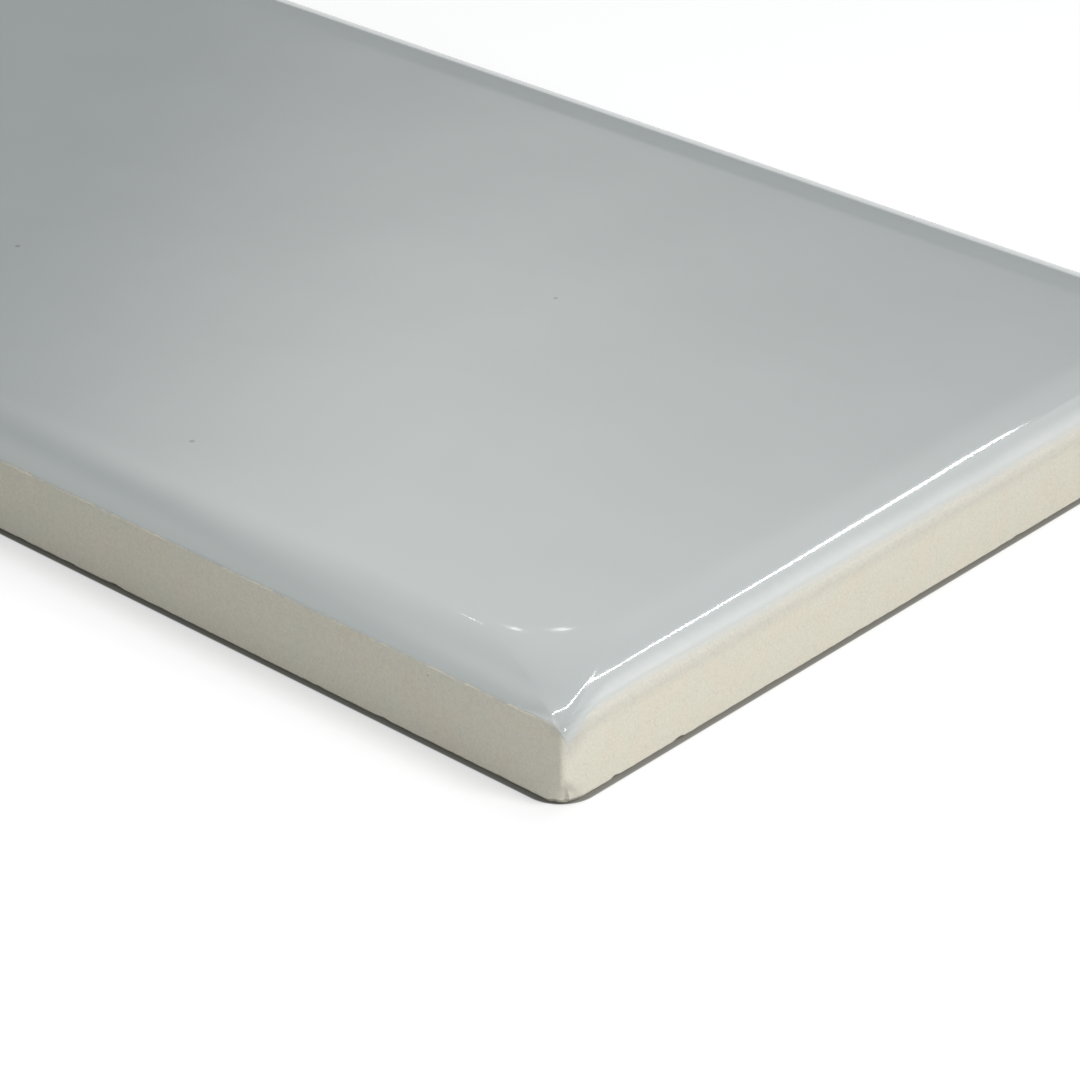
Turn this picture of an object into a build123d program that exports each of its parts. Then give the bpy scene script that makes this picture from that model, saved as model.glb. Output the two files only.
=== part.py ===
"""Glazed ceramic wall tile with a cushion edge and a ribbed back, in millimetres.

The tile is pressed and fired as one piece. It lies on its back with the glazed face up:
X runs along the long side, Y along the short side and Z up, and the origin is the centre
of the plane that the back ribs stand on.
"""

import os
from math import asin, cos, pi, sin, sqrt

from build123d import *

# Overall sizes
tile_length = 150.0
tile_width = 75.0
tile_thickness = 7.0  # from the back ribs to the flat field of the glazed face

# Cushion edge: an arc falls from the flat field, and a small turn takes it into the side face
cushion_width = 5.5  # from the side face in to the flat field
cushion_drop = 1.07  # fall of the arc from the flat field out to the side face
roll_radius = 1.1  # turn at the short sides, a soft roll
arris_radius = 0.3  # turn at the long sides, a crisp arris
corner_radius = 0.4  # plan radius of the upright corners
field_corner_radius = 7.0  # plan radius of the flat field's corners
roll_steps = 6  # outlines that shape the roll
arris_steps = 3  # outlines that shape the arris
cushion_steps = 7  # outlines that shape the cushion

# Back: a lattice of ribs for the adhesive, set in from the edge
rib_height = 0.25  # that the lattice stands proud of the edge of the back
rib_width = 2.0
rib_margin = 3.5  # from the side face in to the outer rib
rib_corner_radius = 2.5
pocket_size = 13.5  # nearest size of the pockets between the ribs
pocket_depth = 0.6  # from the ribs in to the floor of a pocket
pocket_radius = 1.5
back_bevel = 0.15  # on the lower edge of the sides

# The cushion's arc ends level at the field, so its centre is straight below the field's edge
cushion_radius = (cushion_width**2 + cushion_drop**2) / (2 * cushion_drop)
cushion_centre = tile_thickness - cushion_radius


def cushion_slope(turn_radius):
    """Slope of the cushion where a turn of this radius meets it."""
    return asin((cushion_width - turn_radius) / (cushion_radius - turn_radius))


def turn_foot(turn_radius):
    """Height at which a turn of this radius leaves the side face."""
    return cushion_centre + (cushion_radius - turn_radius) * cos(cushion_slope(turn_radius))


def turn_heights(turn_radius, steps):
    """Heights of even steps round a turn, without its upper end."""
    angle = pi / 2 - cushion_slope(turn_radius)
    return [turn_foot(turn_radius) + turn_radius * sin(angle * step / steps) for step in range(steps)]


def cushion_heights(turn_radius, steps):
    """Heights of even steps up the cushion, from the upper end of a turn to the field."""
    slope = cushion_slope(turn_radius)
    return [cushion_centre + cushion_radius * cos(slope * (1 - step / steps)) for step in range(steps + 1)]


def edge_inset(height, turn_radius):
    """Inset of the edge at this height, where the side has a turn of this radius."""
    foot = turn_foot(turn_radius)
    if height <= foot:
        return 0.0
    if height < foot + turn_radius * cos(cushion_slope(turn_radius)):
        return turn_radius - sqrt(turn_radius**2 - (height - foot) ** 2)
    return cushion_width - sqrt(cushion_radius**2 - (height - cushion_centre) ** 2)


edge_heights = turn_heights(roll_radius, roll_steps) + turn_heights(arris_radius, arris_steps)
edge_heights += cushion_heights(roll_radius, cushion_steps)
edge_heights = sorted(set(edge_heights))

# The pockets fill the lattice in whole rows and columns
lattice_length = tile_length - 2 * rib_margin
lattice_width = tile_width - 2 * rib_margin
columns = round((lattice_length - rib_width) / (pocket_size + rib_width))
rows = round((lattice_width - rib_width) / (pocket_size + rib_width))
column_pitch = (lattice_length - rib_width) / columns
row_pitch = (lattice_width - rib_width) / rows

with BuildPart() as tile:
    # Slab with upright sides, from the back face to the foot of the lower turn
    with BuildSketch(Plane.XY.offset(rib_height)):
        RectangleRounded(tile_length, tile_width, corner_radius)
    extrude(amount=edge_heights[0] - rib_height)
    chamfer(tile.edges().group_by(Axis.Z)[0], length=back_bevel)

    # Cushion edge, lofted up through its outlines, whose corners open out towards the field
    for height in edge_heights:
        inset_x = edge_inset(height, roll_radius)
        inset_y = edge_inset(height, arris_radius)
        opening = (inset_x + inset_y) / 2 / cushion_width
        plan_radius = corner_radius + (field_corner_radius - corner_radius) * opening
        with BuildSketch(Plane.XY.offset(height)):
            RectangleRounded(tile_length - 2 * inset_x, tile_width - 2 * inset_y, plan_radius)
    loft(ruled=True)

    # Rib lattice on the back: a raised panel with the pockets pressed into it
    with BuildSketch(Plane.XY):
        RectangleRounded(lattice_length, lattice_width, rib_corner_radius)
    extrude(amount=rib_height)
    with BuildSketch(Plane.XY):
        with GridLocations(column_pitch, row_pitch, columns, rows):
            RectangleRounded(column_pitch - rib_width, row_pitch - rib_width, pocket_radius)
    extrude(amount=pocket_depth, mode=Mode.SUBTRACT)

tile.part.label = "wall_tile"
os.makedirs("parts", exist_ok=True)
export_step(tile.part, "parts/wall_tile.step")
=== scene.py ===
"""Looks of the glazed ceramic wall tile: a dense mesh with its finish, a floor, lamps and a camera.

The tile lies on its back with the glazed face up, in metres: X along the long side, Y along the
short side, Z up from the plane that the back ribs stand on.
"""

from math import acos, asin, cos, inf, pi, radians, sin

import bmesh
import bpy
import numpy as np
from mathutils import Matrix, Vector, noise


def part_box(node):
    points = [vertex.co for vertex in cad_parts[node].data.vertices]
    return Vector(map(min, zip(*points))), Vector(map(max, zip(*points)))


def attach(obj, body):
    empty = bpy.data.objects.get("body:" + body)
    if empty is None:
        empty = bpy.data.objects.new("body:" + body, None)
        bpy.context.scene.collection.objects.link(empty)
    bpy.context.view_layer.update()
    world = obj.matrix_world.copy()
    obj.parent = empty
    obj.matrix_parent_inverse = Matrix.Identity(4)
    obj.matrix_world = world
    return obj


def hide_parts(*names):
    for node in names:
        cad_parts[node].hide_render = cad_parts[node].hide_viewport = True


bl_info = {
    "name": "Glazed Wall Tile",
    "version": (1, 0, 0),
    "blender": (4, 5, 0),
    "location": "View3D > Sidebar > Wall Tile",
    "description": "Builds a glazed ceramic wall tile with a cushion edge, and a studio stage for it",
    "category": "Add Mesh",
}

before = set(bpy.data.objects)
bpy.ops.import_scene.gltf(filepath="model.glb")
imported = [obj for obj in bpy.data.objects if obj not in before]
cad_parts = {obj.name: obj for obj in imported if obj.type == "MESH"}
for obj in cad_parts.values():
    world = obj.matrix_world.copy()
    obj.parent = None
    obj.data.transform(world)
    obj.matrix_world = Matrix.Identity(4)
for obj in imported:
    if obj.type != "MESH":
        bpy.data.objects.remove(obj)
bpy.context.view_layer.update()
TILE_LOW, TILE_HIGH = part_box("wall_tile")
TILE_SIZE = TILE_HIGH - TILE_LOW

MM = 0.001
IMAGE_SIZE = 1080


def length(name, description, millimetres):
    """A length property, shown in the scene's units."""
    return bpy.props.FloatProperty(
        name=name, description=description, default=millimetres * MM, unit="LENGTH", precision=5
    )


def colour(name, description, red, green, blue):
    """A colour property, in linear light."""
    return bpy.props.FloatVectorProperty(
        name=name, description=description, default=(red, green, blue), subtype="COLOR", min=0, max=1
    )


def angle(name, description, degrees):
    """An angle property."""
    return bpy.props.FloatProperty(
        name=name, description=description, default=radians(degrees), subtype="ANGLE"
    )


def factor(name, description, share):
    """A property for a share of a whole."""
    return bpy.props.FloatProperty(name=name, description=description, default=share, subtype="FACTOR")


def wattage(name, description, watts):
    """A property for a lamp's power."""
    return bpy.props.FloatProperty(
        name=name, description=description, default=watts, unit="POWER", precision=5
    )


def amount(name, description, value):
    """A property for a plain number."""
    return bpy.props.FloatProperty(name=name, description=description, default=value)


class WallTileSizes(bpy.types.PropertyGroup):
    """Sizes of the tile that are not in its outer box."""

    corner_radius: length("Corner Radius", "Plan radius of the upright corners", 0.4)
    field_corner_radius: length("Field Corner Radius", "Plan radius of the flat field's corners", 7.0)
    cushion_width: length("Cushion Width", "From the side face in to the flat field", 5.5)
    cushion_drop: length("Cushion Drop", "Fall of the cushion's arc out to the side face", 1.07)
    roll_radius: length("Roll Radius", "Turn at the short sides, a soft roll", 1.1)
    arris_radius: length("Arris Radius", "Turn at the long sides, a crisp arris", 0.3)
    rib_height: length("Rib Height", "How far the rib lattice stands proud of the back", 0.25)
    rib_width: length("Rib Width", "Width of the ribs between the pockets", 2.0)
    rib_margin: length("Rib Margin", "From the side face in to the outer rib", 3.5)
    rib_corner_radius: length("Lattice Corner Radius", "Plan radius of the lattice's corners", 2.5)
    pocket_size: length("Pocket Size", "Nearest size of the pockets between the ribs", 13.5)
    pocket_depth: length("Pocket Depth", "From the ribs in to the floor of a pocket", 0.6)
    pocket_radius: length("Pocket Radius", "Plan radius of the pockets' corners", 1.5)
    back_bevel: length("Back Bevel", "Bevel on the lower edge of the sides", 0.15)
    mesh_step: length("Mesh Step", "Spacing of the points along the sides", 0.43)


class WallTileWear(bpy.types.PropertyGroup):
    """Unevenness of the glaze and damage to the edges."""

    glaze_swell: length("Glaze Swell", "Depth of the slow waves in the glaze", 0.013)
    edge_swell: length("Edge Swell", "Depth of the waves in the glaze on the cushion", 0.05)
    crumble: length("Crumble", "Depth of the notches in the lower edge", 0.22)
    chip_length: length("Chip Length", "Reach of the corner chip at the foot, along the long side", 1.8)
    chip_width: length("Chip Width", "Reach of the corner chip at the foot, along the short side", 3.0)
    chip_height: length("Chip Height", "Height at which the corner chip runs out", 2.4)
    chip_roughness: factor("Chip Roughness", "Unevenness of the chip's face", 0.15)


class WallTileFinish(bpy.types.PropertyGroup):
    """Colours and surface of the glaze and of the bare body."""

    glaze: colour("Glaze", "Full glaze on the face", 0.375, 0.402, 0.394)
    # Partly a thinner glaze and partly painted reflection: a paler colour on the lower cushion of the long
    # sides, which lightens the band by the arris
    paler_glaze_and_sheen: colour("Edge Glaze", "Paler glaze on the lower part of the cushion", 0.43, 0.458, 0.446)
    # Partly paler thin glaze and partly a painted highlight: the pale line along the glaze's edge, which on
    # the long sides stands in for the glint on the arris
    thin_glaze_and_highlight: colour("Thin Glaze", "Glaze where it thins out at its edge", 0.53, 0.548, 0.53)
    body: colour("Bare Body", "Fired body on the sides and the back", 0.70, 0.675, 0.57)
    warm_body: colour("Warm Body", "Warmer patches of the fired body", 0.71, 0.665, 0.555)
    # Painted shade: a dark band along the foot of the sides, for the shade in the gap below the edge
    painted_foot_shade: colour("Painted Shade", "Shaded foot of the sides", 0.33, 0.315, 0.265)
    # Partly a trace of glaze and partly painted shade: the body just below the glaze on the short sides is
    # darker, against the light the roll catches there
    shaded_glaze_trace: colour("Glaze Wash", "Body just below the glaze, with a trace of it", 0.605, 0.58, 0.51)
    speck: colour("Specks", "Iron specks in the glaze and the body", 0.17, 0.165, 0.15)
    glaze_roughness: factor("Glaze Roughness", "Roughness of the glaze", 0.05)
    body_roughness: factor("Body Roughness", "Roughness of the bare body", 0.85)
    long_edge: length("Glaze Edge, Long Sides", "Where the glaze ends, round the arris from its foot", 0.15)
    short_edge: length("Glaze Edge, Short Sides", "Where the glaze ends, round the roll from its foot", 0.6)
    long_fade: length("Glaze Fade, Long Sides", "Width over which the glaze comes to cover the body", 0.05)
    short_fade: length("Glaze Fade, Short Sides", "Width over which the glaze comes to cover the body", 0.7)
    corner_run: length("Corner Run", "How much further the glaze runs down at the corners", 1.5)
    corner_spread: length("Corner Spread", "How far from a corner the glaze runs lower", 1.8)


class WallTileStage(bpy.types.PropertyGroup):
    """Floor, lamps and camera."""

    floor: colour("Floor", "Floor round the tile", 0.55, 0.55, 0.55)
    # Painted shade: the floor under the tile's edge is darker, for the shade in the gap there
    painted_floor_shade: colour("Floor Under The Tile", "Floor in the gap below the tile's edge", 0.35, 0.34, 0.305)
    floor_lift: amount("Floor Lift", "White that the floor adds for the camera", 0.50)
    key_power: wattage("Key Lamp", "Power of the soft lamp on the right", 0.58)
    spot_power: wattage("Spot Lamps", "Power of each small spot behind", 0.0011)
    fill_power: wattage("Fill Lamp", "Power of the small lamp in front of the corner", 0.13)
    tube_power: wattage("Tube Lamps", "Power of the thin tubes behind, for each metre", 0.9)
    panel_power: wattage("Panel Lamp", "Power of the soft panel beside the tubes", 1.1)
    backdrop: amount("Backdrop", "Brightness of the white backdrop that the glaze reflects", 2.15)
    sky: colour("Surroundings", "Light from all round", 0.30, 0.31, 0.32)
    lens: amount("Focal Length", "Camera lens on a 36 mm sensor, in millimetres", 124.67)
    azimuth: angle("Azimuth", "Camera direction round the tile", 42.46)
    elevation: angle("Elevation", "Camera height above the floor", 28.83)
    corner_distance: length("Corner Distance", "Depth of the near lower corner along the view", 227.8)
    corner_pixel: bpy.props.FloatVectorProperty(
        name="Corner Pixel",
        description="Where the near lower corner falls in an image 1080 pixels wide and high",
        default=(563.4, 813.2),
        size=2,
    )


# Outlines and section of the tile

CORNER_STEPS = 40
SIDE_LOW_STEPS = 11  # rings on the lower part of the side, where the corner is chipped
SIDE_HIGH_STEPS = 4
SIDE_LOW_HEIGHT = 2.8 * MM
ROLL_STEPS = 12
ARRIS_STEPS = 5
CUSHION_STEPS = 18
FIELD_STEPS = 14
LEAST_RISE = 0.002 * MM  # from one ring up the edge to the next
CORNER_CROWDING = 0.55  # how much closer together the points stand towards the corners


def outline(size_x, size_y, radius, counts):
    """Points of a rounded rectangle, and the directions out of it at those points.

    They run counter-clockwise from the right end of the front side. counts gives the steps along
    a long side, along a short side and round a corner, so that every outline made with the same
    counts can be joined to the next one point by point.
    """
    along_x, along_y, round_corner = counts
    half_x = size_x / 2 - radius
    half_y = size_y / 2 - radius
    corners = np.array([(half_x, -half_y), (half_x, half_y), (-half_x, half_y), (-half_x, -half_y)])
    points = []
    outward = []
    for index, side in enumerate((along_y, along_x, along_y, along_x)):
        turns = -pi / 2 + pi / 2 * (index + np.arange(round_corner) / round_corner)
        turned = np.column_stack((np.cos(turns), np.sin(turns)))
        points.append(corners[index] + radius * turned)
        outward.append(turned)
        straight = np.array((cos(index * pi / 2), sin(index * pi / 2)))
        even = np.arange(side) / side
        share = (even - CORNER_CROWDING * np.sin(2 * pi * even) / (2 * pi))[:, None]
        after = corners[(index + 1) % 4]
        points.append(corners[index] * (1 - share) + after * share + radius * straight)
        outward.append(np.tile(straight, (side, 1)))
    return np.concatenate(points), np.concatenate(outward)


def cushion_radius(sizes):
    """Radius of the cushion's arc, which ends level at the flat field."""
    return (sizes.cushion_width ** 2 + sizes.cushion_drop ** 2) / (2 * sizes.cushion_drop)


def cushion_slope(sizes, turn_radius):
    """Slope of the cushion where a turn of this radius meets it."""
    return asin((sizes.cushion_width - turn_radius) / (cushion_radius(sizes) - turn_radius))


def turn_foot(sizes, turn_radius):
    """Height at which a turn of this radius leaves the side face."""
    radius = cushion_radius(sizes)
    return TILE_SIZE.z - radius + (radius - turn_radius) * cos(cushion_slope(sizes, turn_radius))


def edge_point(sizes, height, turn_radius):
    """Inset of the edge at this height, and the way there along the section from the turn's foot."""
    slope = cushion_slope(sizes, turn_radius)
    foot = turn_foot(sizes, turn_radius)
    if height <= foot:
        return 0.0, height - foot
    if height < foot + turn_radius * cos(slope):
        turned = asin((height - foot) / turn_radius)
        return turn_radius * (1 - cos(turned)), turn_radius * turned
    radius = cushion_radius(sizes)
    fall = acos(min(1 - (TILE_SIZE.z - height) / radius, 1.0))
    way = turn_radius * (pi / 2 - slope) + radius * (slope - fall)
    return sizes.cushion_width - radius * sin(fall), way


def edge_heights(sizes):
    """Heights of the rings from the foot of the roll to the field, close together round both turns."""
    heights = []
    for turn_radius, steps in ((sizes.roll_radius, ROLL_STEPS), (sizes.arris_radius, ARRIS_STEPS)):
        turn = pi / 2 - cushion_slope(sizes, turn_radius)
        foot = turn_foot(sizes, turn_radius)
        heights += [foot + turn_radius * sin(turn * step / steps) for step in range(steps)]
    slope = cushion_slope(sizes, sizes.roll_radius)
    for step in range(CUSHION_STEPS + 1):
        fall = slope * (1 - step / CUSHION_STEPS)
        heights.append(TILE_SIZE.z - cushion_radius(sizes) * (1 - cos(fall)))
    heights.sort()
    return [height for height, after in zip(heights, heights[1:] + [inf]) if after - height > LEAST_RISE]


def plan_radius(sizes, inset):
    """Corner radius of the outline at this inset, which opens out towards the flat field."""
    share = min(inset / sizes.cushion_width, 1.0)
    radius = sizes.corner_radius + (sizes.field_corner_radius - sizes.corner_radius) * share
    return min(radius, TILE_SIZE.y / 2 - inset)


# Waves, notches and the chip

NOTCH_WAVE = 1.5 * MM  # length of the waves that break out of the lower edge
NOTCH_LEVEL = 0.28  # height of a wave at which it begins to break out
NOTCH_STEEPNESS = 2.2
CRUMB_WAVE = 0.55 * MM  # length of the small waves between the notches
CRUMB_SHARE = 0.2
BEVEL_MIDDLE = 0.45  # under a half, so that the bevel bulges
CHIP_WAVE = 0.8 * MM
CHIP_FINE_WAVE = 0.35 * MM
CHIP_FINE_SHARE = 0.5
CHIP_HOLLOW = 0.4  # mean depth of the chip's face, in depths of its roughness
FIELD_SPREAD = 1.2  # over 1, so that the field's rings crowd towards the cushion
RIPPLE_WAVE = 8 * MM
RIPPLE_SHARE = 0.6  # of the ripples, where the slow waves have 1
SLOW_WAVE = 17 * MM
EDGE_WAVE = 15 * MM
FACING_UP = (0.3, 0.9)  # upward part of the normal over which the swell sets in
FACING_LEVEL = (0.975, 0.9995)  # and over which the cushion's swell dies out
CORNER_BLEND = 0.5 * MM  # either side of a corner, from the long sides' glaze edge to the short sides'
LONG_RUN = 0.1  # share of the corner run that the long sides have
GLAZE_EDGE_WAVE = 5 * MM
LONG_WANDER = 0.05 * MM  # how far the glaze's edge wanders on the long sides
SHORT_WANDER = 0.15 * MM
CORNER_SOFTNESS = 0.5  # share of the short sides' fade that the corners have


def waves(points, wave_length, seed):
    """Smooth noise from about -1 to 1 at each point, with waves of about this length."""
    shift = Vector((seed * 17.3, seed * 5.1, seed * 11.7))
    return np.array([noise.noise(Vector(point) / wave_length + shift) for point in points])


def smooth_share(values, low, high):
    """0 below low, 1 above high, and a smooth rise between them."""
    share = np.clip((values - low) / (high - low), 0, 1)
    return share * share * (3 - 2 * share)


def at_height(flat, height):
    """Flat points raised to a height, or each to a height of its own."""
    return np.column_stack((flat, np.broadcast_to(height, len(flat))))


def notches(flat, wear):
    """How much the lower edge has crumbled away at each point of the outline."""
    points = at_height(flat, 0.0)
    large = np.clip(waves(points, NOTCH_WAVE, seed=3) - NOTCH_LEVEL, 0, None) * NOTCH_STEEPNESS
    small = (waves(points, CRUMB_WAVE, seed=4) + 1) / 2 * CRUMB_SHARE
    return wear.crumble * np.clip(large + small, 0, 1)


def chip_corner(points, wear):
    """Breaks the lower end of the front right corner off to a rough, rounded face."""
    corner = np.array((TILE_HIGH.x, TILE_LOW.y))
    inward = np.array((-1, 1))
    widest = np.array((wear.chip_length, wear.chip_width))
    share = 1 - points[:, 2] / wear.chip_height
    inset = (points[:, :2] - corner) * inward
    near = np.flatnonzero((share > 0) & np.all(inset < widest, axis=1))
    inset = inset[near]
    size = share[near, None] * widest
    beyond = np.clip(1 - inset / size, 0, None)
    out = np.maximum(np.linalg.norm(beyond, axis=1), 1e-9)
    rough = waves(points[near], CHIP_WAVE, seed=6)
    rough += CHIP_FINE_SHARE * waves(points[near], CHIP_FINE_WAVE, seed=7)
    middle = 2 * beyond[:, 0] * beyond[:, 1] / out ** 2
    limit = 1 - wear.chip_roughness * (rough + CHIP_HOLLOW) * middle
    pulled = 1 - beyond * np.minimum(1, limit / out)[:, None]
    points[near, :2] = corner + inward * np.where(beyond > 0, pulled * size, inset)
    return points


def ring_normals(rings):
    """Outward normals of the rings' points, from their neighbours round and across the rings."""
    around = np.roll(rings, -1, axis=1) - np.roll(rings, 1, axis=1)
    across = np.gradient(rings, axis=0)
    normals = np.cross(around, across)
    return normals / np.maximum(np.linalg.norm(normals, axis=2, keepdims=True), 1e-12)


def tile_rings(sizes, wear):
    """Rings of points from the lattice on the back, round the edge and in to the middle of the face.

    With them come each ring's ways along the section at the long and at the short sides, which are
    0 where that side's turn leaves the side face.
    """
    counts = (
        round(TILE_SIZE.x / sizes.mesh_step),
        round(TILE_SIZE.y / sizes.mesh_step),
        CORNER_STEPS,
    )

    def ring(inset_x, inset_y, height, radius):
        flat, _ = outline(TILE_SIZE.x - 2 * inset_x, TILE_SIZE.y - 2 * inset_y, radius, counts)
        return at_height(flat, height)

    side, outward = outline(TILE_SIZE.x, TILE_SIZE.y, sizes.corner_radius, counts)
    bevel = sizes.back_bevel + notches(side, wear)
    foot = sizes.rib_height + bevel
    margin = sizes.rib_margin
    rings = [
        ring(margin, margin, 0.0, sizes.rib_corner_radius),
        ring(margin, margin, sizes.rib_height, sizes.rib_corner_radius),
        ring(margin / 2, margin / 2, sizes.rib_height, sizes.rib_corner_radius / 2),
        at_height(side - outward * bevel[:, None], sizes.rib_height),
        at_height(side - outward * bevel[:, None] * BEVEL_MIDDLE, sizes.rib_height + bevel * BEVEL_MIDDLE),
    ]
    heights = [0.0] * len(rings)
    for step in range(SIDE_LOW_STEPS):
        rings.append(at_height(side, foot + (SIDE_LOW_HEIGHT - foot) * step / SIDE_LOW_STEPS))
        heights.append(SIDE_LOW_HEIGHT * step / SIDE_LOW_STEPS)
    long_foot = turn_foot(sizes, sizes.arris_radius)
    short_foot = turn_foot(sizes, sizes.roll_radius)
    for step in range(SIDE_HIGH_STEPS):
        heights.append(SIDE_LOW_HEIGHT + (short_foot - SIDE_LOW_HEIGHT) * step / SIDE_HIGH_STEPS)
        rings.append(at_height(side, heights[-1]))
    ways = [(height - long_foot, height - short_foot) for height in heights]
    for height in edge_heights(sizes):
        inset_x, short_way = edge_point(sizes, height, sizes.roll_radius)
        inset_y, long_way = edge_point(sizes, height, sizes.arris_radius)
        rings.append(ring(inset_x, inset_y, height, plan_radius(sizes, (inset_x + inset_y) / 2)))
        ways.append((long_way, short_way))
    middle = TILE_SIZE.y / 2
    for step in range(1, FIELD_STEPS + 1):
        share = (step / FIELD_STEPS) ** FIELD_SPREAD
        beyond = (middle - sizes.cushion_width) * share
        inset = sizes.cushion_width + beyond
        rings.append(ring(inset, inset, TILE_SIZE.z, plan_radius(sizes, inset)))
        ways.append((long_way + beyond, short_way + beyond))
    return np.array(rings), np.array(ways)


def swell_glaze(rings, wear):
    """Sinks the glazed face into slow waves, deeper on the cushion, always inside the outer box."""
    points = rings.reshape(-1, 3)
    normals = ring_normals(rings)
    normals[-FIELD_STEPS:] = (0, 0, 1)
    normals = normals.reshape(-1, 3)
    swell = waves(points, RIPPLE_WAVE, seed=1) * RIPPLE_SHARE + waves(points, SLOW_WAVE, seed=2)
    edge_swell = waves(points, EDGE_WAVE, seed=8)
    upward = smooth_share(normals[:, 2], *FACING_UP)
    sloping = 1 - smooth_share(normals[:, 2], *FACING_LEVEL)
    depth = wear.glaze_swell * (swell / (1 + RIPPLE_SHARE) + 1) / 2
    depth += wear.edge_swell * (edge_swell + 1) / 2 * sloping
    return points - normals * (depth * upward)[:, None]


def glaze_edges(flat, finish):
    """Where the glaze ends and how softly, at each point of the outline, and the short sides' share."""
    points = at_height(flat, 0.0)
    from_end = TILE_SIZE.x / 2 - np.abs(flat[:, 0])
    from_front = TILE_SIZE.y / 2 - np.abs(flat[:, 1])
    short = smooth_share(from_front - from_end, -CORNER_BLEND, CORNER_BLEND)
    corner = np.exp(-((from_end ** 2 + from_front ** 2) / finish.corner_spread ** 2))
    edge = finish.long_edge + (finish.short_edge - finish.long_edge) * short
    edge -= finish.corner_run * corner * (LONG_RUN + (1 - LONG_RUN) * short)
    edge += waves(points, GLAZE_EDGE_WAVE, seed=5) * (LONG_WANDER + (SHORT_WANDER - LONG_WANDER) * short)
    soft = np.maximum(short, CORNER_SOFTNESS * corner)
    fade = finish.long_fade + (finish.short_fade - finish.long_fade) * soft
    return edge, fade, short


# The tile

BARE = -9.0  # millimetres from the glaze, for the back's own points
JOIN_GAP = 1e-7  # under which the points of the last ring become one
LEAST_EDGE = 1e-9
SHARP_ANGLE = radians(38)
POCKET_STEPS = (2, 2, 6)  # along a pocket's sides and round its corners


class WALLTILE_OT_add_tile(bpy.types.Operator):
    """Builds the glazed tile in place of its plain solid"""

    bl_idname = "wall_tile.add_tile"
    bl_label = "Add Tile"
    bl_options = {"REGISTER", "UNDO"}

    def execute(self, context):
        scene = context.scene
        mesh = tile_mesh(scene.wall_tile_sizes, scene.wall_tile_wear, scene.wall_tile_finish)
        mesh.materials.append(glazed_ceramic(scene.wall_tile_finish))
        tile = bpy.data.objects.new("glazed_tile", mesh)
        scene.collection.objects.link(tile)
        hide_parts("wall_tile")
        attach(tile, "root")
        return {"FINISHED"}


def tile_mesh(sizes, wear, finish):
    """The whole tile as one closed mesh, with the glaze's reach and fade stored on its points."""
    rings, ways = tile_rings(sizes, wear)
    ring_count, around = rings.shape[:2]
    upright_ring = rings[ring_count // 4]
    edge, fade, short = glaze_edges(upright_ring[:, :2], finish)
    reach = (ways[:, :1] * (1 - short) + ways[:, 1:] * short - edge) / MM
    points = chip_corner(swell_glaze(rings, wear), wear)

    here = np.arange(around)
    after = (here + 1) % around
    low = np.arange(ring_count - 1)[:, None] * around
    quads = np.stack((low + here, low + after, low + around + after, low + around + here), axis=2)
    mesh = bpy.data.meshes.new("glazed_tile")
    mesh.from_pydata(points.tolist(), [], quads.reshape(-1, 4).tolist())
    stored = mesh.attributes.new("glaze_reach", "FLOAT", "POINT")
    stored.data.foreach_set("value", reach.ravel())
    stored = mesh.attributes.new("glaze_fade", "FLOAT", "POINT")
    stored.data.foreach_set("value", np.tile(fade / MM, ring_count))

    shape = bmesh.new()
    shape.from_mesh(mesh)
    shape.verts.ensure_lookup_table()
    last_ring = shape.verts[(ring_count - 1) * around :]
    fill_back(shape, shape.verts[:around], sizes)
    bmesh.ops.remove_doubles(shape, verts=last_ring, dist=JOIN_GAP)
    bmesh.ops.dissolve_degenerate(shape, edges=shape.edges, dist=LEAST_EDGE)
    bmesh.ops.recalc_face_normals(shape, faces=shape.faces)
    shape.to_mesh(mesh)
    shape.free()
    mesh.shade_smooth()
    mesh.set_sharp_from_angle(angle=SHARP_ANGLE)
    return mesh


def fill_back(shape, border, sizes):
    """Closes the back inside this border with the rib lattice and its pockets."""
    lattice_x = TILE_SIZE.x - 2 * sizes.rib_margin - sizes.rib_width
    lattice_y = TILE_SIZE.y - 2 * sizes.rib_margin - sizes.rib_width
    columns = round(lattice_x / (sizes.pocket_size + sizes.rib_width))
    rows = round(lattice_y / (sizes.pocket_size + sizes.rib_width))
    pitch_x = lattice_x / columns
    pitch_y = lattice_y / rows
    pocket_x = pitch_x - sizes.rib_width
    pocket_y = pitch_y - sizes.rib_width
    pocket, _ = outline(pocket_x, pocket_y, sizes.pocket_radius, POCKET_STEPS)
    reach = shape.verts.layers.float["glaze_reach"]
    edges = []
    for here, after in zip(border, border[1:] + border[:1]):
        edges.append(shape.edges.get((here, after)))
    for column in range(columns):
        for row in range(rows):
            centre_x = (column - (columns - 1) / 2) * pitch_x
            centre_y = (row - (rows - 1) / 2) * pitch_y
            rim = [shape.verts.new((x + centre_x, y + centre_y, 0.0)) for x, y in pocket]
            floor = [shape.verts.new((x + centre_x, y + centre_y, sizes.pocket_depth)) for x, y in pocket]
            for point in rim + floor:
                point[reach] = BARE
            for here in range(len(rim)):
                shape.faces.new((rim[here - 1], rim[here], floor[here], floor[here - 1]))
                edges.append(shape.edges.get((rim[here - 1], rim[here])))
            shape.faces.new(floor)
    bmesh.ops.triangle_fill(shape, use_beauty=True, use_dissolve=False, edges=edges)


# Materials

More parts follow.
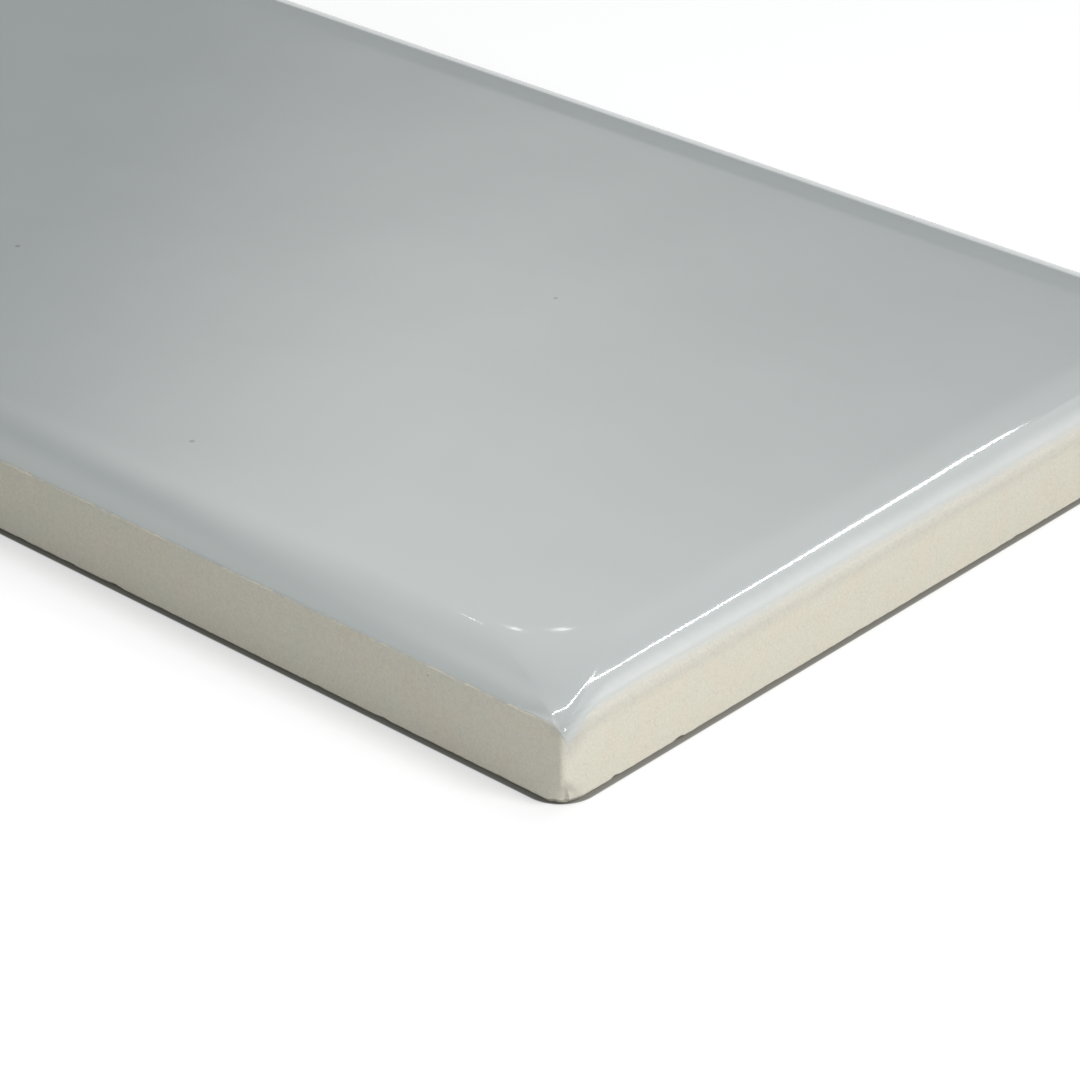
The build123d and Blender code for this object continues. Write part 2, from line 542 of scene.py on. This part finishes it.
SPECKS = (  # place on the tile and radius, in millimetres
    ((32.2, -28.1, 7.0), 0.30),
    ((35.1, 5.7, 7.0), 0.24),
    ((-1.3, -15.0, 7.0), 0.30),
    ((73.45, -10.4, 6.6), 0.16),
    ((74.4, -3.3, 6.35), 0.12),
    ((63.65, -37.5, 5.2), 0.10),
)
SPECK_CORE = 0.3  # share of a speck's radius out to which it is full
SPECK_SHARE = 0.55  # how far a speck covers what is under it
SPECK_ROW = 160  # between the nodes of one speck and the next

# Noises: length of the waves and detail
RAGGED = (0.7 * MM, 4.0)
CLOUDS = (11 * MM, 2.0)
PATCHES = (2.6 * MM, 3.0)
GRAIN = (0.16 * MM, 3.0)
PORES = (0.4 * MM, 2.0)
NOISE_RANGE = (0.25, 0.75)

CLOUD_TONE = (0.975, 1.025)
GRAIN_TONE = (0.93, 1.07)
PATCH_RANGE = (0.38, 0.66)

# Distances from the glaze's edge, in millimetres or in widths of its fade
RAGGED_DEPTH = 0.30  # millimetres that the edge wanders in all
FULL_COLOUR = (0.8, 2.8)  # widths over which the glaze comes to its full colour
# The paler glaze of the cushion is partly painted reflection
EDGE_COLOUR = (0.9, 2.6)  # millimetres over which the paler glaze of the cushion ends
# Below the glaze on the short sides the body is darkened, partly a trace of glaze and partly painted shade
TRACE_AND_SHADE = (-1.4, 0.0)  # millimetres over which a trace of glaze sets in on the body

# Painted shade along the foot, and relief of the surface
FOOT_SHADE_START = (0.1 * MM, 0.2 * MM)  # heights over which it sets in, above the ribs
FOOT_SHADE_END = (0.36 * MM, 0.24 * MM)  # heights over which it runs out
FOOT_SHADE_RAGGED = 0.25 * MM
PORE_RANGE = (0.30, 0.42)
GRAIN_RELIEF = 0.35
GLAZE_RELIEF = 3.0  # height of the glaze in depths of a pore
RELIEF_STRENGTH = 0.6
RELIEF_DEPTH = 0.03 * MM

# Floor
FLOOR_ROUGHNESS = 0.9
# The dark floor under the tile is painted shade
UNDER_TURN = 2.6 * MM  # corner radius of the dark floor under the tile
UNDER_FADE = 0.15 * MM


def add_node(tree, kind, place, **settings):
    """A node of this kind at this place in the tree, with these settings."""
    made = tree.nodes.new(kind)
    made.location = place
    for name, value in settings.items():
        setattr(made, name, value)
    return made


def add_math(tree, operation, first, second, place):
    """The result of a calculation on two values, each a socket or a number."""
    made = add_node(tree, "ShaderNodeMath", place, operation=operation)
    for socket, value in zip(made.inputs, (first, second)):
        if isinstance(value, (int, float)):
            socket.default_value = value
        else:
            tree.links.new(value, socket)
    return made.outputs["Value"]


def add_ramp(tree, value, low, high, place):
    """A smooth rise from 0 at low to 1 at high of the value, or a fall where high is the lower one."""
    ramp = add_node(tree, "ShaderNodeMapRange", place, interpolation_type="SMOOTHSTEP")
    ramp.inputs["From Min"].default_value = min(low, high)
    ramp.inputs["From Max"].default_value = max(low, high)
    ramp.inputs["To Min"].default_value = 0.0 if low < high else 1.0
    ramp.inputs["To Max"].default_value = 1.0 if low < high else 0.0
    tree.links.new(value, ramp.inputs["Value"])
    return ramp.outputs["Result"]


def add_tone(tree, value, tones, place):
    """A straight rise of a noise's value from the first of these tones to the second."""
    made = add_node(tree, "ShaderNodeMapRange", place)
    made.inputs["From Min"].default_value, made.inputs["From Max"].default_value = NOISE_RANGE
    made.inputs["To Min"].default_value, made.inputs["To Max"].default_value = tones
    tree.links.new(value, made.inputs["Value"])
    return made.outputs["Result"]


def add_scaled(tree, tint, scale, place):
    """A colour made lighter or darker by this scale."""
    made = add_node(tree, "ShaderNodeVectorMath", place, operation="SCALE")
    tree.links.new(tint, made.inputs[0])
    tree.links.new(scale, made.inputs["Scale"])
    return made.outputs["Vector"]


def add_noise(tree, coordinates, wave_length, detail, place):
    """Noise from about 0.25 to 0.75 with waves of this length."""
    made = add_node(tree, "ShaderNodeTexNoise", place)
    made.inputs["Scale"].default_value = 1 / wave_length
    made.inputs["Detail"].default_value = detail
    tree.links.new(coordinates, made.inputs["Vector"])
    return made.outputs["Fac"]


def add_mix(tree, share, first, second, place):
    """A mix of two colours, each a socket or a colour, by this share."""
    made = add_node(tree, "ShaderNodeMix", place, data_type="RGBA")
    sockets = [made.inputs["Factor"], made.inputs["A"], made.inputs["B"]]
    for socket, value in zip(sockets, (share, first, second)):
        if isinstance(value, bpy.types.NodeSocket):
            tree.links.new(value, socket)
        elif isinstance(value, float):
            socket.default_value = value
        else:
            socket.default_value = (*value, 1)
    return made.outputs["Result"]


def new_material(name):
    """A new material, its node tree and its Principled shader."""
    material = bpy.data.materials.new(name)
    material.use_nodes = True
    tree = material.node_tree
    return material, tree, tree.nodes["Principled BSDF"]


def add_specks(tree, coordinates, place):
    """1 inside the iron specks and 0 outside."""
    column, row = place
    specks = None
    for number, (spot, radius) in enumerate(SPECKS):
        level = row - SPECK_ROW * number
        gap = add_node(tree, "ShaderNodeVectorMath", (column, level), operation="DISTANCE")
        tree.links.new(coordinates, gap.inputs[0])
        gap.inputs[1].default_value = [value * MM for value in spot]
        rim = radius * MM
        dot = add_ramp(tree, gap.outputs["Value"], rim, SPECK_CORE * rim, (column + 180, level))
        if specks is None:
            specks = dot
        else:
            specks = add_math(tree, "MAXIMUM", specks, dot, (column + 360, level))
    return specks


def glazed_ceramic(finish):
    """Glaze on the face that thins out over the edge to the bare body."""
    material, tree, shader = new_material("glazed_ceramic")
    link = tree.links.new
    spot = add_node(tree, "ShaderNodeTexCoord", (-2400, 0)).outputs["Object"]
    reach = add_node(tree, "ShaderNodeAttribute", (-2400, 500), attribute_name="glaze_reach").outputs["Fac"]
    fade = add_node(tree, "ShaderNodeAttribute", (-2400, 300), attribute_name="glaze_fade").outputs["Fac"]

    # Ragged edge of the glaze, counted in widths of its fade
    ragged = add_noise(tree, spot, *RAGGED, (-2200, 700))
    jitter = add_math(tree, "MULTIPLY_ADD", ragged, RAGGED_DEPTH, (-2000, 600))
    link(reach, jitter.node.inputs[2])
    centred = add_math(tree, "SUBTRACT", jitter, RAGGED_DEPTH / 2, (-1800, 600))
    widths = add_math(tree, "DIVIDE", centred, fade, (-1600, 600))
    cover = add_ramp(tree, widths, 0.0, 1.0, (-1400, 700))
    full = add_ramp(tree, widths, *FULL_COLOUR, (-1400, 450))

    # Glaze, with slow clouds in it, and paler on the long sides' lower cushion, partly as painted
    # reflection
    clouds = add_noise(tree, spot, *CLOUDS, (-1400, 150))
    tone = add_tone(tree, clouds, CLOUD_TONE, (-1200, 150))
    soft = add_ramp(tree, fade, finish.long_fade / MM, finish.short_fade / MM, (-2000, 200))
    inner = add_ramp(tree, reach, *EDGE_COLOUR, (-1800, 300))
    deep = add_math(tree, "MAXIMUM", inner, soft, (-1600, 300))
    on_face = add_mix(tree, deep, finish.paler_glaze_and_sheen, finish.glaze, (-1400, 300))
    glaze = add_mix(tree, full, finish.thin_glaze_and_highlight, on_face, (-1200, 400))
    cloudy = add_scaled(tree, glaze, tone, (-1000, 300))

    # Bare body: warm patches, fine grain, and below the glaze's edge a trace of glaze darkened as painted
    # shade
    patches = add_noise(tree, spot, *PATCHES, (-1600, -150))
    warmth = add_ramp(tree, patches, *PATCH_RANGE, (-1400, -150))
    body = add_mix(tree, warmth, finish.body, finish.warm_body, (-1200, -150))
    below = add_ramp(tree, reach, *TRACE_AND_SHADE, (-1600, -400))
    trace_and_shade = add_math(tree, "MULTIPLY", below, soft, (-1400, -400))
    traced_and_shaded = add_mix(tree, trace_and_shade, body, finish.shaded_glaze_trace, (-1000, -200))
    grain = add_noise(tree, spot, *GRAIN, (-1600, -650))
    grain_tone = add_tone(tree, grain, GRAIN_TONE, (-1400, -650))
    grainy = add_scaled(tree, traced_and_shaded, grain_tone, (-800, -300))

    # Painted shade along the foot of the sides, above the ribs: a dark band for the shade in the gap below
    # the edge
    parts = add_node(tree, "ShaderNodeSeparateXYZ", (-2200, -900))
    link(spot, parts.inputs["Vector"])
    height = parts.outputs["Z"]
    above_ribs = add_ramp(tree, height, *FOOT_SHADE_START, (-1800, -700))
    shaded_height = add_math(tree, "MULTIPLY_ADD", ragged, -FOOT_SHADE_RAGGED, (-2000, -900))
    link(height, shaded_height.node.inputs[2])
    low = add_ramp(tree, shaded_height, *FOOT_SHADE_END, (-1800, -900))
    painted_foot_shade = add_math(tree, "MULTIPLY", low, above_ribs, (-1600, -800))
    foot = add_mix(tree, painted_foot_shade, grainy, finish.painted_foot_shade, (-700, -500))

    # Glaze over body, with iron specks in both
    surface = add_mix(tree, cover, foot, cloudy, (-600, 200))
    dots = add_specks(tree, spot, (-1600, -900))
    specks = add_math(tree, "MULTIPLY", dots, SPECK_SHARE, (-600, -300))
    specked = add_mix(tree, specks, surface, finish.speck, (-400, 200))
    link(specked, shader.inputs["Base Color"])

    gloss = add_node(tree, "ShaderNodeMapRange", (-600, -60))
    gloss.inputs["To Min"].default_value = finish.body_roughness
    gloss.inputs["To Max"].default_value = finish.glaze_roughness
    link(cover, gloss.inputs["Value"])
    link(gloss.outputs["Result"], shader.inputs["Roughness"])

    # Relief: the grain of the body, and the step at the glaze's edge
    pores = add_noise(tree, spot, *PORES, (-1600, -2000))
    pitted = add_ramp(tree, pores, *PORE_RANGE, (-1400, -2000))
    rough = add_math(tree, "MULTIPLY_ADD", grain, GRAIN_RELIEF, (-1200, -1900))
    link(pitted, rough.node.inputs[2])
    relief = add_node(tree, "ShaderNodeMix", (-600, -900), data_type="FLOAT")
    link(cover, relief.inputs["Factor"])
    link(rough, relief.inputs["A"])
    relief.inputs["B"].default_value = GLAZE_RELIEF
    bump = add_node(tree, "ShaderNodeBump", (-300, -400))
    bump.inputs["Strength"].default_value = RELIEF_STRENGTH
    bump.inputs["Distance"].default_value = RELIEF_DEPTH
    link(relief.outputs["Result"], bump.inputs["Height"])
    link(bump.outputs["Normal"], shader.inputs["Normal"])
    return material


def floor_material(stage):
    """Matt white floor that keeps shadows and shows white to the camera and in reflections, with painted
    shade under the tile.
    """
    material, tree, shader = new_material("studio_floor")
    link = tree.links.new
    shader.inputs["Roughness"].default_value = FLOOR_ROUGHNESS
    shader.inputs["Specular IOR Level"].default_value = 0.0

    # Painted shade: dark and without lift under the tile, so that the gap below its edge stays dark
    spot = add_node(tree, "ShaderNodeTexCoord", (-1200, 100))
    folded = add_node(tree, "ShaderNodeVectorMath", (-1050, 100), operation="ABSOLUTE")
    link(spot.outputs["Object"], folded.inputs[0])
    beyond = add_node(tree, "ShaderNodeVectorMath", (-900, 100), operation="SUBTRACT")
    link(folded.outputs["Vector"], beyond.inputs[0])
    beyond.inputs[1].default_value = (TILE_SIZE.x / 2 - UNDER_TURN, TILE_SIZE.y / 2 - UNDER_TURN, 0)
    outside = add_node(tree, "ShaderNodeVectorMath", (-750, 100), operation="MAXIMUM")
    link(beyond.outputs["Vector"], outside.inputs[0])
    gap = add_node(tree, "ShaderNodeVectorMath", (-600, 100), operation="LENGTH")
    link(outside.outputs["Vector"], gap.inputs[0])
    clear = add_ramp(tree, gap.outputs["Value"], UNDER_TURN, UNDER_TURN + UNDER_FADE, (-450, 100))
    tint = add_mix(tree, clear, stage.painted_floor_shade, stage.floor, (-250, 200))
    link(tint, shader.inputs["Base Color"])

    rays = add_node(tree, "ShaderNodeLightPath", (-900, -200)).outputs
    seen = add_math(tree, "MAXIMUM", rays["Is Camera Ray"], rays["Is Glossy Ray"], (-700, -200))
    seen = add_math(tree, "MAXIMUM", seen, rays["Is Transmission Ray"], (-550, -200))
    lift = add_math(tree, "MULTIPLY", seen, stage.floor_lift, (-400, -200))
    lift = add_math(tree, "MULTIPLY", lift, clear, (-250, -100))
    link(lift, shader.inputs["Emission Strength"])
    shader.inputs["Emission Color"].default_value = (1, 1, 1, 1)
    return material


# Stage, in metres

FLOOR_HALF = 3.0
FLOOR_DROP = 0.01 * MM  # below the ribs, so that the two don't meet
KEY_OFFSET = Vector((0.24, 0.07, 0.23))  # from the near upper corner, as for the fill
KEY_SIZE = 0.08
FILL_OFFSET = Vector((0.14, -0.12, 0.10))
FILL_SIZE = 0.06
TUBE_ENDS = (  # the first tube rises on the right and the second one leans over to the left
    (Vector((-0.2, 0.7299, 0.6135)), Vector((-0.1857, 0.6188, 0.7235))),
    (Vector((-0.1847, 0.6112, 0.731)), Vector((-0.3991, 0.2316, 0.7854))),
)
TUBE_WIDTH = 0.0075
PANEL_EDGE = Vector((-0.1824, 0.5934, 0.7487))  # middle of the panel's side towards the tubes
PANEL_RISE = Vector((0.0352, -0.273, 0.2703))
PANEL_ACROSS = Vector((0.9, 0.43, 0))
PANEL_LENGTH = 0.5
PANEL_WIDTH = 0.7
PANEL_GAP = 0.006
SPOT_PLACES = (
    Vector((-0.5051, 0.5061, 0.5451)),
    Vector((-0.4873, 0.5551, 0.509)),
    Vector((-0.475, 0.5736, 0.5007)),
)
SPOT_LENGTH = 0.004
SPOT_WIDTH = 0.006
NEAR_CLIP = 0.01

# Backdrop: bearings of its ends, which lean with the height, and the height at which it dims
LEFT_LEAN = -0.876
LEFT_END = (radians(30.58), radians(19.96))
RIGHT_LEAN = 1.777
RIGHT_END = (radians(69.98), radians(102.44))
TOP_END = (radians(77.5), radians(34))
TOP_SHARE = 0.45  # of its brightness that is left at the top


class WALLTILE_OT_set_stage(bpy.types.Operator):
    """Lays the floor, hangs the lamps and places the camera"""

    bl_idname = "wall_tile.set_stage"
    bl_label = "Set Stage"
    bl_options = {"REGISTER", "UNDO"}

    def execute(self, context):
        stage = context.scene.wall_tile_stage
        lay_floor(stage)
        hang_lamps(stage)
        light_surroundings(stage)
        place_camera(stage)
        context.scene.view_settings.view_transform = "Standard"
        return {"FINISHED"}


def lay_floor(stage):
    """A wide level floor just under the ribs."""
    mesh = bpy.data.meshes.new("studio_floor")
    signs = ((-1, -1), (1, -1), (1, 1), (-1, 1))
    corners = [(x * FLOOR_HALF, y * FLOOR_HALF, -FLOOR_DROP) for x, y in signs]
    mesh.from_pydata(corners, [], [(0, 1, 2, 3)])
    mesh.materials.append(floor_material(stage))
    floor = bpy.data.objects.new("studio_floor", mesh)
    bpy.context.scene.collection.objects.link(floor)


def add_lamp(name, power, centre, along, aim, size_along, size_across):
    """A rectangular lamp at this centre, facing the aim, with its first side along this direction."""
    data = bpy.data.lights.new(name, "AREA")
    data.shape = "RECTANGLE"
    data.energy = power
    data.size = size_along
    data.size_y = size_across
    away = (centre - aim).normalized()
    first = (along - away * along.dot(away)).normalized()
    lamp = bpy.data.objects.new(name, data)
    turn = Matrix((first, away.cross(first), away)).transposed().to_4x4()
    lamp.matrix_world = Matrix.Translation(centre) @ turn
    lamp.visible_camera = False
    bpy.context.scene.collection.objects.link(lamp)
    return lamp


def hang_lamps(stage):
    """A soft key on the right, a fill in front, and behind the tile tubes, a soft panel and spots."""
    corner = Vector((TILE_HIGH.x, TILE_LOW.y, TILE_HIGH.z))
    key_place = corner + KEY_OFFSET
    add_lamp("key", stage.key_power, key_place, Vector((0, 1, 0)), corner, KEY_SIZE, KEY_SIZE)
    fill_place = corner + FILL_OFFSET
    fill = add_lamp("fill", stage.fill_power, fill_place, Vector((1, 0, 0)), corner, FILL_SIZE, FILL_SIZE)
    fill.visible_glossy = False  # it only lifts the shade, and the glaze doesn't mirror it

    # The cushion mirrors the tubes as one line along the short side, which bends at the corner
    for number, (low_end, high_end) in enumerate(TUBE_ENDS, 1):
        tube = high_end - low_end
        power = stage.tube_power * tube.length
        place = (low_end + high_end) / 2
        add_lamp(f"tube_{number}", power, place, tube, corner, tube.length, TUBE_WIDTH)

    panel_place = PANEL_EDGE + PANEL_ACROSS * (PANEL_WIDTH / 2 + PANEL_GAP)
    add_lamp("panel", stage.panel_power, panel_place, PANEL_RISE, corner, PANEL_LENGTH, PANEL_WIDTH)

    # Small bright spots far behind, which the edge of the flat field mirrors as short dashes
    for number, place in enumerate(SPOT_PLACES, 1):
        level = Vector((place.y, -place.x, 0))
        add_lamp(f"spot_{number}", stage.spot_power, place, level, corner, SPOT_LENGTH, SPOT_WIDTH)


def light_surroundings(stage):
    """White for the camera; for the rest an even soft light, with a white backdrop behind the tile."""
    world = bpy.data.worlds.new("studio")
    world.use_nodes = True
    tree = world.node_tree
    link = tree.links.new
    direction = add_node(tree, "ShaderNodeTexCoord", (-1800, 0))
    parts = add_node(tree, "ShaderNodeSeparateXYZ", (-1600, 0))
    link(direction.outputs["Generated"], parts.inputs["Vector"])
    height = add_node(tree, "ShaderNodeMath", (-1400, -200), operation="ARCSINE")
    link(parts.outputs["Z"], height.inputs[0])
    height = height.outputs["Value"]
    leftward = add_math(tree, "MULTIPLY", parts.outputs["X"], -1.0, (-1400, 0))
    bearing = add_math(tree, "ARCTAN2", leftward, parts.outputs["Y"], (-1200, 0))

    # The backdrop widens upwards, with a fairly crisp left end and a soft right end, and dims at the top
    left_lean = add_math(tree, "MULTIPLY_ADD", height, LEFT_LEAN, (-1000, 200))
    link(bearing, left_lean.node.inputs[2])
    left_end = add_ramp(tree, left_lean, *LEFT_END, (-800, 200))
    right_lean = add_math(tree, "MULTIPLY_ADD", height, RIGHT_LEAN, (-1000, 0))
    link(bearing, right_lean.node.inputs[2])
    right_end = add_ramp(tree, right_lean, *RIGHT_END, (-800, 0))
    top_end = add_ramp(tree, height, *TOP_END, (-800, -200))
    dimmed = add_math(tree, "MULTIPLY_ADD", top_end, 1 - TOP_SHARE, (-600, -200))
    dimmed.node.inputs[2].default_value = TOP_SHARE
    width = add_math(tree, "MULTIPLY", left_end, right_end, (-600, 100))
    shown = add_math(tree, "MULTIPLY", width, dimmed, (-400, 0))

    light = add_mix(tree, shown, stage.sky, [stage.backdrop] * 3, (-200, 0))
    path = add_node(tree, "ShaderNodeLightPath", (-200, 300))
    tint = add_mix(tree, path.outputs["Is Camera Ray"], light, (1, 1, 1), (0, 0))
    link(tint, tree.nodes["Background"].inputs["Color"])
    bpy.context.scene.world = world


def place_camera(stage):
    """A camera that sees the near lower corner of the tile at its pixel and distance."""
    azimuth = stage.azimuth
    elevation = stage.elevation
    forward = Vector((-sin(azimuth) * cos(elevation), cos(azimuth) * cos(elevation), -sin(elevation)))
    right = Vector((cos(azimuth), sin(azimuth), 0))
    up = right.cross(forward)
    data = bpy.data.cameras.new("camera")
    data.lens = stage.lens
    data.clip_start = NEAR_CLIP
    focal_pixels = stage.lens / data.sensor_width * IMAGE_SIZE
    across = (stage.corner_pixel[0] - IMAGE_SIZE / 2) / focal_pixels
    down = (stage.corner_pixel[1] - IMAGE_SIZE / 2) / focal_pixels
    corner = Vector((TILE_HIGH.x, TILE_LOW.y, TILE_LOW.z))
    place = corner - stage.corner_distance * (forward + right * across - up * down)
    camera = bpy.data.objects.new("camera", data)
    camera.matrix_world = Matrix.Translation(place) @ Matrix((right, up, -forward)).transposed().to_4x4()
    bpy.context.scene.collection.objects.link(camera)
    bpy.context.scene.camera = camera


class VIEW3D_PT_wall_tile(bpy.types.Panel):
    """Sizes, wear, finish and stage of the wall tile"""

    bl_label = "Wall Tile"
    bl_space_type = "VIEW_3D"
    bl_region_type = "UI"
    bl_category = "Wall Tile"

    def draw(self, context):
        scene = context.scene
        tile_groups = (scene.wall_tile_sizes, scene.wall_tile_wear, scene.wall_tile_finish)
        for group in (*tile_groups, scene.wall_tile_stage):
            column = self.layout.box().column(align=True)
            for name in group.__annotations__:
                column.prop(group, name)
        self.layout.operator(WALLTILE_OT_add_tile.bl_idname)
        self.layout.operator(WALLTILE_OT_set_stage.bl_idname)


CLASSES = (
    WallTileSizes,
    WallTileWear,
    WallTileFinish,
    WallTileStage,
    WALLTILE_OT_add_tile,
    WALLTILE_OT_set_stage,
    VIEW3D_PT_wall_tile,
)


def register():
    for cls in CLASSES:
        bpy.utils.register_class(cls)
    bpy.types.Scene.wall_tile_sizes = bpy.props.PointerProperty(type=WallTileSizes)
    bpy.types.Scene.wall_tile_wear = bpy.props.PointerProperty(type=WallTileWear)
    bpy.types.Scene.wall_tile_finish = bpy.props.PointerProperty(type=WallTileFinish)
    bpy.types.Scene.wall_tile_stage = bpy.props.PointerProperty(type=WallTileStage)


def unregister():
    del bpy.types.Scene.wall_tile_stage
    del bpy.types.Scene.wall_tile_finish
    del bpy.types.Scene.wall_tile_wear
    del bpy.types.Scene.wall_tile_sizes
    for cls in reversed(CLASSES):
        bpy.utils.unregister_class(cls)


def main():
    register()
    bpy.ops.wall_tile.add_tile()
    bpy.ops.wall_tile.set_stage()


if __name__ == "__main__":
    main()
